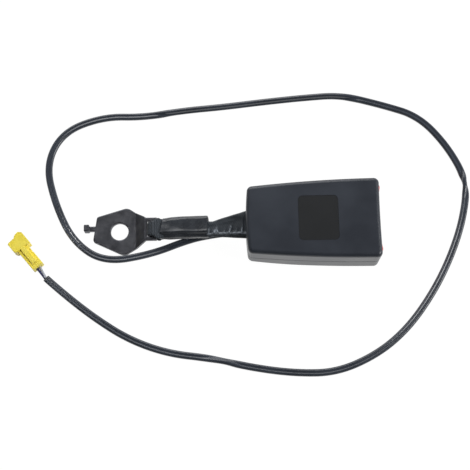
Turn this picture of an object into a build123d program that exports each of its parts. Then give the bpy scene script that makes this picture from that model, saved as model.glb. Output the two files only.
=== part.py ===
from build123d import *
import math
import os

os.makedirs("parts", exist_ok=True)

# Seat belt buckle on a short webbing stalk, with a belted-or-not switch and its lead.
# Millimetres. The origin is on the anchor bolt's axis at the plate's underside, +X runs
# along the buckle to the mouth, +Y across it, and +Z up from the surface it lies on.

# Fits
play = 0.3                    # between mouldings that slide past each other
slip = 0.05                   # radial, a pin in its hole
near = 0.01                   # how close an edge lies to the place it is picked by

# Anchor plate
plate_thick = 3.0
bolt_hole_radius = 5.75       # clearance hole for a 7/16 inch bolt
hole_coin = 0.4               # bevel pressed round the hole's upper rim
plate_rear_left = (-14.7, 9.9)
plate_rear_right = (-17.1, -6.4)
plate_peak_left = (5.2, 15.8)
plate_peak_right = (3.1, -16.1)
peak_left_round = 5.0
peak_right_round = 6.5
plate_corner_round = 1.8
joggle_x = 11.5               # where the plate bends up
joggle_run = 6.0
joggle_rise = 5.5
neck_width = 14.8
lug_y = 2.2                   # locating lug at the rear edge
lug_neck_width = 3.0
lug_length = 7.0
lug_head_width = 4.4
lug_head_length = 3.4
lug_turn_up = 2.4

# Bar of the anchor plate, which the webbing goes round
bar_width = 3.0
arm_width = 2.4
bar_x = 22.9

# Webbing, folded to a narrow band
leg_thick = 2.4               # one gathered leg of the band
loop_leg_thick = 1.6          # the same leg where it is pulled through the plate
loop_gap = 1.3                # from the bar's face to the webbing round it
band_frame_width = 20.0
band_exit_width = 17.6
band_neck_width = 9.8
band_sleeve_width = 11.8
band_neck_x = 57.0

# Sleeve over the band
sleeve_start = 4.6            # along the band, from the bar's axis
sleeve_length = 30.2
sleeve_width = 14.6
sleeve_height = 9.4
sleeve_wall = 0.8

# Housing
housing_rear_x = 81.6
housing_length = 85.0
housing_rear_width = 43.4
housing_front_width = 52.0
housing_side_bow = 1.05
housing_rear_bow = 1.2
housing_front_dish = 0.4
housing_height = 27.0
parting_z = 13.5
wall = 2.0
edge_round = 2.6
edge_bevel = 1.8              # on the lower shell's bottom edge
corner_round = 3.4
tail_rise = 3.5               # how far the underside climbs towards the strap
tail_start_x = 120.0
seam_bevel = 0.35
lip_width = 0.9
lip_height = 1.2

# Label on the upper shell, bare
label_centre_x = 127.2
label_length = 25.0
label_width = 28.8
label_thick = 0.3
label_round = 3.0
label_recess = 0.4

# Steel frame
frame_rear_x = 91.0
frame_front_x = 157.0
frame_width = 34.0
sheet = 2.0
frame_wall_foot_z = 7.6
frame_wall_rear_x = 92.6
frame_wall_front_x = 142.0
frame_rail_foot_z = 18.6
frame_rail_front_x = 152.0

# Strap pin
strap_pin_radius = 3.0
strap_pin_x = 96.5
strap_pin_z = 14.5
strap_pin_head_radius = 4.2
strap_pin_head_thick = 1.0
pin_wrap_gap = 0.1

# Latch plate
pivot_x = 116.0
pivot_z = 16.9
pivot_radius = 1.8
latch_opening = 13.0          # degrees, nose down
latch_top_z = 18.0
latch_thick = 2.2
latch_rear_x = 113.8
latch_nose_x = 142.0
tooth_width = 13.0
tooth_rear_x = 138.0
tooth_crest = 1.6
tooth_top_z = 23.4
tooth_front_rise = 1.2
cheek_rim = 1.5               # steel left round the cam slots

# Lock pin, carried by the button
lock_pin_radius = 1.75
lock_pin_x = 132.0
lock_pin_z = 11.2
button_travel = 5.0

# Button
button_rear_x = 148.5
button_width = 45.6
button_bottom_z = 2.4
button_top_z = 16.4
button_wall = 1.8
button_proud = 1.0            # past the housing's front corners
button_dish = 2.2
button_front_wall = 5.0
ear_inner_y = 16.4
ear_top_z = 24.5
ear_rear_x = 160.0
button_round = 1.4
ear_round = 2.6
pad_width = 27.0
pad_rear_x = 158.0
pad_bottom_z = 0.4
arm_outer_y = 19.8
arm_thick = 2.4
arm_bottom_z = 8.0
arm_top_z = 15.0
arm_rear_x = 128.6

# Button springs
spring_y = 9.0
spring_z = 6.6
button_spring_outer = 2.3     # radius
button_spring_wire = 0.6
spring_sides = 12
seat_rear_x = 133.0
seat_thick = 2.0
seat_width = 24.2
peg_radius = 1.5
peg_length = 3.0
web_thick = 1.8
web_margin = 1.0

# Latch spring
latch_spring_x = 121.5
latch_spring_outer = 2.4
latch_spring_wire = 0.6
latch_post_z = 6.4

# Ejector
ejector_front_x = 136.9
ejector_length = 12.9
ejector_width = 11.0
ejector_bottom_z = 18.6
ejector_top_z = 22.7
ejector_travel = 8.0
ejector_key_width = 4.6
ejector_key_length = 6.0
ejector_key_setback = 2.2
ejector_bore_radius = 2.0
ejector_bore_depth = 6.5
ejector_spring_outer = 1.75
ejector_spring_wire = 0.5
ejector_spring_z = 20.65
tab_x = 101.5
tab_thick = 1.5
tab_width = 6.0
tab_foot_z = 18.5

# Switch: magnet in the ejector, sensor on the frame
magnet_length = 3.0
magnet_height = 2.4
magnet_depth = 1.8
sensor_x = 112.0
sensor_length = 10.0
sensor_inner_y = 6.2
sensor_width = 6.2
sensor_foot_z = 18.9
stud_radius = 1.0

# Tongue guide
guide_front_x = 164.7
guide_width = 32.0
guide_bottom_z = 16.8
slot_width = 27.4
slot_bottom_z = 18.3
slot_top_z = 22.9
slot_lead_in = 1.0
slot_bevel = 0.8

# Lead and its connector
lead_width = 4.3
lead_thick = 3.0
lead_inner_radius = 1.5
lead_exit_x = 84.0
lead_exit_y = -3.5
lead_exit_z = 7.9
core_radius = 0.8
core_spread = 1.15
plug_rear = (-51.4, -23.2)
plug_angle = 129.6            # degrees from +X, the way the plug points
plug_body_length = 15.6
plug_body_width = 7.6
plug_body_height = 7.4
plug_head_length = 10.4
plug_head_width = 11.8
plug_head_height = 9.4
plug_core_z = 4.2

# Worked out from the sizes above
front_corner_x = housing_rear_x + housing_length
rear_corner_x = housing_rear_x + housing_rear_bow
rear_half = housing_rear_width / 2
front_half = housing_front_width / 2
ceiling_z = housing_height - wall
frame_inner_y = frame_width / 2 - sheet
frame_plate_z = ceiling_z - sheet
latch_half = frame_inner_y - play
bar_z = joggle_rise + plate_thick / 2
loop_inner = bar_width / 2 + loop_gap
loop_outer = loop_inner + loop_leg_thick
slot_half = neck_width / 2 - arm_width
wrap_inner = strap_pin_radius + pin_wrap_gap
wrap_outer = wrap_inner + leg_thick
band_rise = math.atan2(strap_pin_z - bar_z, strap_pin_x - bar_x)
band_span = math.hypot(strap_pin_z - bar_z, strap_pin_x - bar_x)


def band_z(x):
    """Height of the band's centre line at x."""
    return bar_z + (x - bar_x) * math.tan(band_rise)


def housing_plan(z, inset=0.0):
    """The housing's outline at height z, drawn in by inset."""
    tail_x, front_x = rear_corner_x + inset, front_corner_x - inset
    tail_y, front_y = rear_half - inset, front_half - inset
    middle = ((tail_x + front_x) / 2, (tail_y + front_y) / 2 + housing_side_bow)
    with BuildSketch(Plane.XY.offset(z)) as plan:
        with BuildLine():
            ThreePointArc((tail_x, -tail_y), (tail_x - housing_rear_bow, 0), (tail_x, tail_y))
            ThreePointArc((tail_x, tail_y), middle, (front_x, front_y))
            ThreePointArc((front_x, front_y), (front_x - housing_front_dish, 0), (front_x, -front_y))
            ThreePointArc((front_x, -front_y), (middle[0], -middle[1]), (tail_x, -tail_y))
        make_face()
        fillet(plan.vertices(), corner_round - inset)
    return plan.sketch


def side_half(x):
    """Half the housing's width at x, on its bowed sides."""
    along = (x - rear_corner_x) / (front_corner_x - rear_corner_x)
    straight = rear_half + (front_half - rear_half) * along
    return straight + 4 * housing_side_bow * along * (1 - along)


def tail_z(x):
    """Height of the housing's underside at x, where it climbs towards the strap."""
    run = tail_start_x - housing_rear_x
    radius = (run ** 2 + tail_rise ** 2) / (2 * tail_rise)
    back = max(0.0, tail_start_x - x)
    return radius - math.sqrt(radius ** 2 - back ** 2)


def tangent_point(radius, x, y):
    """Where the upper line from (x, y) touches a circle round the origin."""
    angle = math.atan2(y, x) + math.acos(radius / math.hypot(x, y))
    return radius * math.cos(angle), radius * math.sin(angle)


def mirrored(points):
    """Points above the X axis, then the same points below it in reverse."""
    return points + [(x, -y) for x, y in reversed(points)]


# ---------------------------------------------------------------- anchor plate
# A flat stamping, joggled up to the bar that the webbing goes round.
neck_half = neck_width / 2
joggle_end_x = joggle_x + joggle_run
bar_left_x = bar_x - bar_width / 2
bar_right_x = bar_x + bar_width / 2
slot_rear_x = bar_x - loop_outer - play
bend_shift = plate_thick * math.tan(math.atan2(joggle_rise, joggle_run) / 2)
lug_rear_x = (plate_rear_left[0] + plate_rear_right[0]) / 2 - lug_length
bend_round = 1.6
bar_edge_round = 0.6

with BuildPart() as anchor_plate:
    with BuildSketch(Plane.XZ) as section:
        with BuildLine():
            Polyline((plate_rear_right[0] - 1, 0), (joggle_x, 0), (joggle_end_x, joggle_rise),
                     (bar_right_x, joggle_rise), (bar_right_x, joggle_rise + plate_thick),
                     (joggle_end_x - bend_shift, joggle_rise + plate_thick),
                     (joggle_x - bend_shift, plate_thick),
                     (plate_rear_right[0] - 1, plate_thick), close=True)
        make_face()
        bend_range = (joggle_x - bend_shift - near, joggle_end_x + near)
        bends = section.vertices().filter_by_position(Axis.X, *bend_range)
        fillet(bends, bend_round)
        fillet(section.vertices().sort_by(Axis.X)[-2:], bar_edge_round)
    extrude(amount=abs(plate_peak_right[1]) + 1, both=True)
    with BuildSketch() as outline:
        with BuildLine():
            Polyline(plate_rear_left, plate_peak_left, (joggle_end_x, neck_half),
                     (bar_right_x, neck_half), (bar_right_x, -neck_half),
                     (joggle_end_x, -neck_half), plate_peak_right, plate_rear_right, close=True)
        make_face()
        fillet(outline.vertices().sort_by(Axis.Y)[-1], peak_left_round)
        fillet(outline.vertices().sort_by(Axis.Y)[0], peak_right_round)
        fillet(outline.vertices().sort_by(Axis.X)[:2], plate_corner_round)
    extrude(amount=joggle_rise + plate_thick, mode=Mode.INTERSECT)
    with BuildSketch():
        with Locations(((lug_rear_x + plate_rear_left[0]) / 2, lug_y)):
            Rectangle(plate_rear_left[0] - lug_rear_x, lug_neck_width)
    extrude(amount=plate_thick)
    with BuildSketch():
        with Locations((lug_rear_x + lug_head_length / 2, lug_y)):
            RectangleRounded(lug_head_length, lug_head_width, bar_edge_round)
    extrude(amount=plate_thick + lug_turn_up)
    Hole(bolt_hole_radius)
    with BuildSketch():
        with Locations(((slot_rear_x + bar_left_x) / 2, 0)):
            Rectangle(bar_left_x - slot_rear_x, 2 * slot_half)
    extrude(amount=joggle_rise + plate_thick, mode=Mode.SUBTRACT)
    round_edges = anchor_plate.edges().filter_by(GeomType.CIRCLE)
    rim = round_edges.filter_by(lambda edge: abs(edge.radius - bolt_hole_radius) < near)
    chamfer(rim.sort_by(Axis.Z)[-1], hole_coin)
    bar_edges = anchor_plate.edges().filter_by(Axis.Y)
    bar_edges = bar_edges.filter_by_position(Axis.X, bar_left_x - near, bar_left_x + near)
    fillet(bar_edges, bar_edge_round)
anchor_plate.part.label = "anchor_plate"
export_step(anchor_plate.part, "parts/anchor_plate.step")

# ---------------------------------------------------------------- webbing band
# One length of webbing, gathered narrow: round the plate's bar, and round the strap pin.
band_plane = Plane(origin=(bar_x, 0, bar_z), x_dir=(math.cos(band_rise), 0, math.sin(band_rise)),
                   z_dir=(0, -1, 0))
loop_join = 7.0
wrap_join = 9.5
loop_meet = 5.4
wrap_meet = 6.4
band_flare_x = bar_right_x + 1.0
band_flare_run = 3.0
band_full_x = 47.0

with BuildPart() as webbing_strap:
    with BuildSketch(band_plane):
        first = tangent_point(loop_outer, loop_join, leg_thick)
        last = tangent_point(wrap_outer, wrap_join, leg_thick)
        upper = [first, (loop_join, leg_thick), (band_span - wrap_join, leg_thick),
                 (band_span - last[0], last[1])]
        with BuildLine():
            Polyline(mirrored(upper), close=True)
        make_face()
        Circle(loop_outer)
        with Locations((band_span, 0)):
            Circle(wrap_outer)
            Circle(wrap_inner, mode=Mode.SUBTRACT)
        Circle(loop_inner, mode=Mode.SUBTRACT)
        touch = tangent_point(loop_inner, loop_meet, 0)
        with BuildLine():
            Polyline((0, 0), touch, (loop_meet, 0), (touch[0], -touch[1]), close=True)
        make_face(mode=Mode.SUBTRACT)
        touch = tangent_point(wrap_inner, wrap_meet, 0)
        with BuildLine():
            Polyline((band_span, 0), (band_span - touch[0], touch[1]), (band_span - wrap_meet, 0),
                     (band_span - touch[0], -touch[1]), close=True)
        make_face(mode=Mode.SUBTRACT)
    extrude(amount=band_frame_width / 2, both=True)
    with BuildSketch():
        widths = [(bar_x - loop_outer - 1, slot_half - play),
                  (band_flare_x, slot_half - play),
                  (band_flare_x + band_flare_run, band_sleeve_width / 2),
                  (band_full_x, band_sleeve_width / 2),
                  (band_neck_x, band_neck_width / 2),
                  (housing_rear_x, band_exit_width / 2),
                  (frame_rear_x, band_frame_width / 2),
                  (strap_pin_x + wrap_outer + 1, band_frame_width / 2)]
        with BuildLine():
            Polyline(mirrored(widths), close=True)
        make_face()
    extrude(amount=housing_height, mode=Mode.INTERSECT)
webbing_strap.part.label = "webbing_strap"
export_step(webbing_strap.part, "parts/webbing_strap.step")

# A glossy sleeve shrunk over the band.
sleeve_round = 3.6
sleeve_plane = Plane(origin=(bar_x + sleeve_start * math.cos(band_rise), 0,
                             bar_z + sleeve_start * math.sin(band_rise)),
                     x_dir=(0, 1, 0), z_dir=(math.cos(band_rise), 0, math.sin(band_rise)))
with BuildPart() as strap_sleeve:
    with BuildSketch(sleeve_plane):
        RectangleRounded(sleeve_width, sleeve_height, sleeve_round)
        RectangleRounded(sleeve_width - 2 * sleeve_wall, sleeve_height - 2 * sleeve_wall,
                         sleeve_round - sleeve_wall, mode=Mode.SUBTRACT)
    extrude(amount=sleeve_length)
strap_sleeve.part.label = "strap_sleeve"
export_step(strap_sleeve.part, "parts/strap_sleeve.step")

# ---------------------------------------------------------------- lower shell
# The shell that faces the occupant: button notch, spring seat, posts and snap hooks.
floor_z = wall
mouth_half_y = band_exit_width / 2 + 3 * play
mouth_z = band_z(housing_rear_x + wall / 2)
mouth_half_z = leg_thick / math.cos(band_rise) + 2 * play
front_open_half = front_half - wall - play
front_open_x = front_corner_x - housing_front_dish - wall - corner_round
notch_rear_x = pad_rear_x - button_travel - 2 * play
notch_round = 1.2
hook_xs = (99.0, 138.0)
hook_length = 6.0
hook_thick = 1.3
hook_root = 5.0
hook_reach = 6.0
hook_barb = 0.9
hook_barb_length = 2.4
hook_bury = 0.4               # how deep the hook's root runs into the wall
support_xs = (105.5, 139.0)
support_length = 3.4
seat_top_z = spring_z + button_spring_outer + play
latch_peg_height = 2.6


def strap_mouth():
    """The opening at the tail for the band, cut from whichever shell is being built."""
    with BuildSketch(Plane.YZ.offset(housing_rear_x - wall), mode=Mode.PRIVATE) as mouth:
        with Locations((0, mouth_z)):
            RectangleRounded(2 * mouth_half_y, 2 * mouth_half_z, wall / 2)
    return mouth.sketch


def hook_section(x, side, grow=0.0):
    """A snap hook's profile against the side wall at x, or the pocket for it."""
    face = side_half(x - hook_length / 2) - wall
    top = parting_z + hook_reach
    points = [(face + hook_bury, parting_z - hook_root), (face + hook_bury, parting_z - lip_height),
              (face - play, parting_z), (face - play, top - hook_barb_length),
              (face + hook_barb, top - hook_barb_length + hook_bury), (face - play, top),
              (face - play - hook_thick, top), (face - play - hook_thick, parting_z - hook_root)]
    if grow:
        points = [(face - play, top - hook_barb_length - grow),
                  (face + hook_barb + grow, top - hook_barb_length - grow),
                  (face + hook_barb + grow, top + grow),
                  (face - play, top + grow)]
    with BuildSketch(Plane.YZ.offset(x), mode=Mode.PRIVATE) as profile:
        with BuildLine():
            Polyline([(side * y, z) for y, z in points], close=True)
        make_face()
    return profile.sketch


def under_tail(lift):
    """What lies below the climbing tail, raised by lift, as seen from the side."""
    middle_x = (tail_start_x + housing_rear_x) / 2
    with BuildSketch(Plane.XZ, mode=Mode.PRIVATE) as below:
        with BuildLine():
            climb = ThreePointArc((tail_start_x, lift), (middle_x, tail_z(middle_x) + lift),
                                  (housing_rear_x, tail_rise + lift))
            Polyline(climb @ 1, (housing_rear_x - wall, tail_rise + lift), (housing_rear_x - wall, -wall),
                     (tail_start_x, -wall), climb @ 0)
        make_face()
    return below.sketch


with BuildPart() as lower_cavity:
    extrude(housing_plan(parting_z + wall, wall), amount=floor_z - parting_z - wall)
    extrude(under_tail(wall), amount=housing_front_width, both=True, mode=Mode.SUBTRACT)

with BuildPart() as front_cover:
    extrude(housing_plan(parting_z), amount=-parting_z)
    extrude(under_tail(0), amount=housing_front_width, both=True, mode=Mode.SUBTRACT)
    low = front_cover.edges().filter_by_position(Axis.Z, -near, tail_rise + near)
    chamfer(low.filter_by(lambda edge: abs(edge.center().X - tail_start_x) > near), edge_bevel)
    add(lower_cavity.part, mode=Mode.SUBTRACT)
    seam = front_cover.faces().filter_by(Plane.XY).sort_by(Axis.Z)[-1].outer_wire().edges()
    chamfer(seam, seam_bevel)
    with BuildSketch(Plane.XY.offset(parting_z)):
        add(housing_plan(parting_z, wall - lip_width))
        add(housing_plan(parting_z, wall), mode=Mode.SUBTRACT)
    extrude(amount=lip_height)
    for x in hook_xs:
        for side in (-1, 1):
            extrude(hook_section(x, side), amount=hook_length / 2, both=True)
    for x in support_xs:
        with BuildSketch(Plane.XY.offset(frame_wall_foot_z)):
            with Locations((x, frame_width / 2 - sheet / 2), (x, sheet / 2 - frame_width / 2)):
                Rectangle(support_length, sheet)
        extrude(amount=tail_z(x) + wall / 2 - frame_wall_foot_z)
    with BuildSketch(Plane.YZ.offset(seat_rear_x)):
        with Locations((0, (floor_z / 2 + seat_top_z) / 2)):
            Rectangle(seat_width, seat_top_z - floor_z / 2)
    extrude(amount=seat_thick)
    with BuildSketch(Plane.YZ.offset(seat_rear_x + seat_thick)):
        with Locations((spring_y, spring_z), (-spring_y, spring_z)):
            Circle(peg_radius)
    extrude(amount=peg_length)
    with BuildSketch(Plane.XY.offset(floor_z / 2)):
        with Locations((latch_spring_x, 0)):
            Circle(latch_spring_outer + play)
    extrude(amount=latch_post_z - floor_z / 2)
    with BuildSketch(Plane.XY.offset(latch_post_z)):
        with Locations((latch_spring_x, 0)):
            Circle(peg_radius)
    extrude(amount=latch_peg_height)
    extrude(strap_mouth(), amount=3 * wall, mode=Mode.SUBTRACT)
    with BuildSketch(Plane.YZ.offset(housing_rear_x - wall)):
        with Locations((lead_exit_y, lead_exit_z)):
            Circle(lead_width / 2 + 1.5 * play)
    extrude(amount=3 * wall, mode=Mode.SUBTRACT)
    with BuildSketch(Plane.YZ.offset(front_open_x)):
        with Locations((0, floor_z + parting_z / 2)):
            Rectangle(2 * front_open_half, parting_z)
    extrude(amount=4 * wall + corner_round, mode=Mode.SUBTRACT)
    with BuildSketch() as notch:
        with Locations(((notch_rear_x + front_corner_x + wall) / 2, 0)):
            Rectangle(front_corner_x + wall - notch_rear_x, pad_width + 4 * play)
        fillet(notch.vertices().sort_by(Axis.X)[:2], notch_round)
    extrude(amount=floor_z, mode=Mode.SUBTRACT)
front_cover.part.label = "front_cover"
export_step(front_cover.part, "parts/front_cover.step")

# ---------------------------------------------------------------- upper shell
# The shell that faces the seat, with the bare label's recess on its flat.
frame_peg_x = 107.5
frame_peg_y = 12.9
frame_peg_length = 3.2

with BuildPart() as upper_cavity:
    extrude(housing_plan(parting_z - wall, wall), amount=ceiling_z - parting_z + wall)

with BuildPart() as rear_cover:
    extrude(housing_plan(parting_z), amount=housing_height - parting_z)
    fillet(rear_cover.faces().sort_by(Axis.Z)[-1].edges(), edge_round)
    add(upper_cavity.part, mode=Mode.SUBTRACT)
    seam = rear_cover.faces().filter_by(Plane.XY).sort_by(Axis.Z)[0].outer_wire().edges()
    chamfer(seam, seam_bevel)
    rebate = housing_plan(parting_z, wall - lip_width - play / 2)
    extrude(rebate, amount=lip_height + play / 2, mode=Mode.SUBTRACT)
    for x in hook_xs:
        for side in (-1, 1):
            pocket = hook_section(x, side, play / 2)
            extrude(pocket, amount=hook_length / 2 + play, both=True, mode=Mode.SUBTRACT)
    with BuildSketch(Plane.XY.offset(ceiling_z)):
        with Locations((frame_peg_x, frame_peg_y), (frame_peg_x, -frame_peg_y)):
            Circle(peg_radius)
    extrude(amount=-frame_peg_length)
    with BuildSketch(Plane.XY.offset(housing_height)):
        with Locations((label_centre_x, 0)):
            RectangleRounded(label_length + play, label_width + play, label_round)
    extrude(amount=-label_recess, mode=Mode.SUBTRACT)
    extrude(strap_mouth(), amount=3 * wall, mode=Mode.SUBTRACT)
    with BuildSketch(Plane.YZ.offset(front_open_x)):
        with Locations((0, ceiling_z - parting_z / 2)):
            Rectangle(2 * front_open_half, parting_z)
    extrude(amount=4 * wall + corner_round, mode=Mode.SUBTRACT)
rear_cover.part.label = "rear_cover"
export_step(rear_cover.part, "parts/rear_cover.step")

with BuildPart() as blank_label:
    with BuildSketch(Plane.XY.offset(housing_height - label_recess)):
        with Locations((label_centre_x, 0)):
            RectangleRounded(label_length, label_width, label_round)
    extrude(amount=label_thick)
blank_label.part.label = "blank_label"
export_step(blank_label.part, "parts/blank_label.step")

# ---------------------------------------------------------------- steel frame
# A channel folded from sheet, open downwards, that carries the whole belt load.
frame_corner = 4.0
fold_round = 1.0
window_gap = 1.5
window_half = tooth_width / 2 + window_gap / 2
ejector_rest_x = ejector_front_x - ejector_length
key_rear_x = ejector_rest_x + ejector_key_setback
track_rear_x = key_rear_x - ejector_travel - 2 * play
track_front_x = key_rear_x + ejector_key_length + 2 * play
lance_length = 4.6
cam_gap = 0.1
sensor_stud_x = sensor_x + sensor_length / 2
sensor_stud_y = -(sensor_inner_y + sensor_width / 2)

ear_clear_x = ear_rear_x - button_travel - 2 * play
ear_clear_y = ear_inner_y - play

with BuildPart() as latch_frame:
    with BuildSketch(Plane.XY.offset(frame_plate_z)) as blank:
        with Locations(((frame_rear_x + ear_clear_x) / 2, 0)):
            Rectangle(ear_clear_x - frame_rear_x, frame_width)
        chamfer(blank.vertices().sort_by(Axis.X)[:2], frame_corner / 2)
        with Locations(((frame_rear_x + frame_front_x) / 2, 0)):
            Rectangle(frame_front_x - frame_rear_x, 2 * ear_clear_y)
    extrude(amount=sheet)
    with BuildSketch(Plane.XZ) as cheek:
        with BuildLine():
            Polyline((frame_wall_rear_x, frame_plate_z), (frame_wall_rear_x, strap_pin_z - frame_corner),
                     (strap_pin_x, frame_wall_foot_z), (frame_wall_front_x, frame_wall_foot_z),
                     (frame_wall_front_x, frame_rail_foot_z), (frame_rail_front_x, frame_rail_foot_z),
                     (frame_rail_front_x, frame_plate_z), close=True)
        make_face()
        feet = cheek.vertices().filter_by_position(Axis.Z, frame_wall_foot_z - near, strap_pin_z)
        fillet(feet, fold_round)
    extrude(amount=frame_width / 2, both=True)
    with BuildSketch(Plane.YZ.offset(frame_rear_x)):
        with Locations((0, frame_plate_z / 2)):
            Rectangle(2 * frame_inner_y, frame_plate_z)
    extrude(amount=frame_front_x - frame_rear_x, mode=Mode.SUBTRACT)
    folds = latch_frame.edges().filter_by(Axis.X).group_by(Axis.Z)[-1]
    fillet(folds.filter_by(lambda edge: abs(abs(edge.center().Y) - frame_width / 2) < near), fold_round)
    with BuildSketch(Plane.XY.offset(frame_plate_z)):
        with Locations((tooth_rear_x + (latch_nose_x - tooth_rear_x) / 2 + play, 0)):
            RectangleRounded(latch_nose_x - tooth_rear_x + 2 * window_gap + play, 2 * window_half, fold_round)
        with Locations(((track_rear_x + track_front_x) / 2, 0)):
            Rectangle(track_front_x - track_rear_x, ejector_key_width + 2 * play)
        with Locations((tab_x + tab_thick + lance_length / 2, 0)):
            Rectangle(lance_length, tab_width + 2 * play)
        with Locations((frame_peg_x, frame_peg_y), (frame_peg_x, -frame_peg_y)):
            Circle(peg_radius + slip)
        with Locations((sensor_stud_x, sensor_stud_y)):
            Circle(stud_radius + slip)
    extrude(amount=sheet, mode=Mode.SUBTRACT)
    with BuildSketch(Plane.YZ.offset(tab_x)):
        with Locations((0, (tab_foot_z + frame_plate_z + sheet) / 2)):
            Rectangle(tab_width, frame_plate_z + sheet - tab_foot_z)
    extrude(amount=tab_thick)
    with BuildSketch(Plane.XZ):
        with Locations((pivot_x, pivot_z)):
            Circle(pivot_radius + slip)
        with Locations((strap_pin_x, strap_pin_z)):
            Circle(strap_pin_radius + slip)
        with Locations((lock_pin_x - button_travel / 2, lock_pin_z)):
            SlotCenterToCenter(button_travel, 2 * (lock_pin_radius + cam_gap))
    extrude(amount=frame_width, both=True, mode=Mode.SUBTRACT)
latch_frame.part.label = "latch_frame"
export_step(latch_frame.part, "parts/latch_frame.step")

with BuildPart() as strap_pin:
    with BuildSketch(Plane.XZ.offset(-frame_width / 2)):
        with Locations((strap_pin_x, strap_pin_z)):
            Circle(strap_pin_radius)
    extrude(amount=frame_width + strap_pin_head_thick)
    with BuildSketch(Plane.XZ.offset(-frame_width / 2)):
        with Locations((strap_pin_x, strap_pin_z)):
            Circle(strap_pin_head_radius)
    extrude(amount=-strap_pin_head_thick)
strap_pin.part.label = "strap_pin"
export_step(strap_pin.part, "parts/strap_pin.step")

# ---------------------------------------------------------------- latch
# A plate on trunnions. Its tooth stands in the tongue's window, and the lock pin runs in
# two cam slots in its cheeks, so that pressing the button tips the nose down.
cheek_thick = 2.0
tooth_ramp_z = latch_top_z + tooth_front_rise
nose_round = 2.0
spring_boss_drop = 1.2


def cam_point(share):
    """Where the lock pin lies in the latch's own frame at a share of the travel."""
    turn = math.radians(latch_opening * share)
    along = lock_pin_x - button_travel * share - pivot_x
    down = lock_pin_z - pivot_z
    return (pivot_x + along * math.cos(turn) - down * math.sin(turn),
            pivot_z + along * math.sin(turn) + down * math.cos(turn))


cam_arc = ThreePointArc(cam_point(0), cam_point(0.5), cam_point(1))
cam_radius = lock_pin_radius + cam_gap
latch_under_z = latch_top_z - latch_thick

with BuildPart() as latch:
    with BuildSketch(Plane.XY.offset(latch_under_z)) as plate:
        with Locations(((latch_rear_x + latch_nose_x) / 2, 0)):
            Rectangle(latch_nose_x - latch_rear_x, 2 * latch_half)
        fillet(plate.vertices().sort_by(Axis.X)[-2:], nose_round)
    extrude(amount=latch_thick)
    with BuildSketch(Plane.XZ):
        with BuildLine():
            Polyline((tooth_rear_x, latch_under_z), (tooth_rear_x, tooth_top_z),
                     (tooth_rear_x + tooth_crest, tooth_top_z), (latch_nose_x, tooth_ramp_z),
                     (latch_nose_x, latch_under_z), close=True)
        make_face()
    extrude(amount=tooth_width / 2, both=True)
    with BuildSketch(Plane.XZ):
        SlotArc(cam_arc, 2 * (cam_radius + cheek_rim))
        with BuildLine():
            Polyline((cam_point(1)[0] - cam_radius, cam_point(1)[1]), cam_point(0),
                     (lock_pin_x + cam_radius + cheek_rim, lock_pin_z),
                     (lock_pin_x + cam_radius + cheek_rim, latch_under_z + latch_thick / 2),
                     (cam_point(1)[0] - cam_radius, latch_under_z + latch_thick / 2), close=True)
        make_face()
    extrude(amount=latch_half, both=True)
    with BuildSketch(Plane.YZ.offset(latch_rear_x)):
        with Locations((0, latch_under_z / 2)):
            Rectangle(2 * (latch_half - cheek_thick), latch_under_z)
    extrude(amount=latch_nose_x - latch_rear_x, mode=Mode.SUBTRACT)
    with BuildSketch(Plane.XZ.offset(-frame_width / 2)):
        with Locations((pivot_x, pivot_z)):
            Circle(pivot_radius)
    extrude(amount=frame_width / 2 - latch_half + cheek_thick)
    with BuildSketch(Plane.XZ.offset(frame_width / 2)):
        with Locations((pivot_x, pivot_z)):
            Circle(pivot_radius)
    extrude(amount=latch_half - cheek_thick - frame_width / 2)
    with BuildSketch(Plane.XY.offset(latch_under_z)):
        with Locations((latch_spring_x, 0)):
            Circle(peg_radius)
    extrude(amount=-spring_boss_drop)
    with BuildSketch(Plane.XZ):
        SlotArc(cam_arc, 2 * cam_radius)
    extrude(amount=latch_half + 1, both=True, mode=Mode.SUBTRACT)
latch.part.label = "latch"
export_step(latch.part, "parts/latch.step")

with BuildPart() as lock_pin:
    with BuildSketch(Plane.XZ.offset(-arm_outer_y)):
        with Locations((lock_pin_x, lock_pin_z)):
            Circle(lock_pin_radius)
    extrude(amount=2 * arm_outer_y)
lock_pin.part.label = "lock_pin"
export_step(lock_pin.part, "parts/lock_pin.step")

# ---------------------------------------------------------------- button
# A hollow moulding, dished at the front for the thumb, with an ear on each side of the
# tongue slot, a pad in the shell's notch and two arms that carry the lock pin.
button_half = button_width / 2
proud_x = front_corner_x + button_proud
hollow_front_x = proud_x - button_dish - button_front_wall
hollow_bottom_z = button_bottom_z + button_wall
hollow_top_z = button_top_z - button_wall
web_x = button_rear_x + button_wall
web_outer_y = spring_y + button_spring_outer + web_margin
web_inner_y = spring_y - button_spring_outer - web_margin


def button_plan(z, rear_x, inner_y, outer_y):
    """The button's plan between two distances from the middle, on both sides."""
    with BuildSketch(Plane.XY.offset(z), mode=Mode.PRIVATE) as plan:
        with BuildLine():
            dish = ThreePointArc((proud_x, button_half), (proud_x - button_dish, 0), (proud_x, -button_half))
            Polyline(dish @ 1, (rear_x, -button_half), (rear_x, button_half), dish @ 0)
        make_face()
        fillet(plan.vertices().sort_by(Axis.X)[-2:], ear_round)
        with Locations(((rear_x + proud_x) / 2, 0)):
            Rectangle(proud_x - rear_x + 1, 2 * outer_y, mode=Mode.INTERSECT)
            if inner_y:
                Rectangle(proud_x - rear_x + 1, 2 * inner_y, mode=Mode.SUBTRACT)
    return plan.sketch


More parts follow.
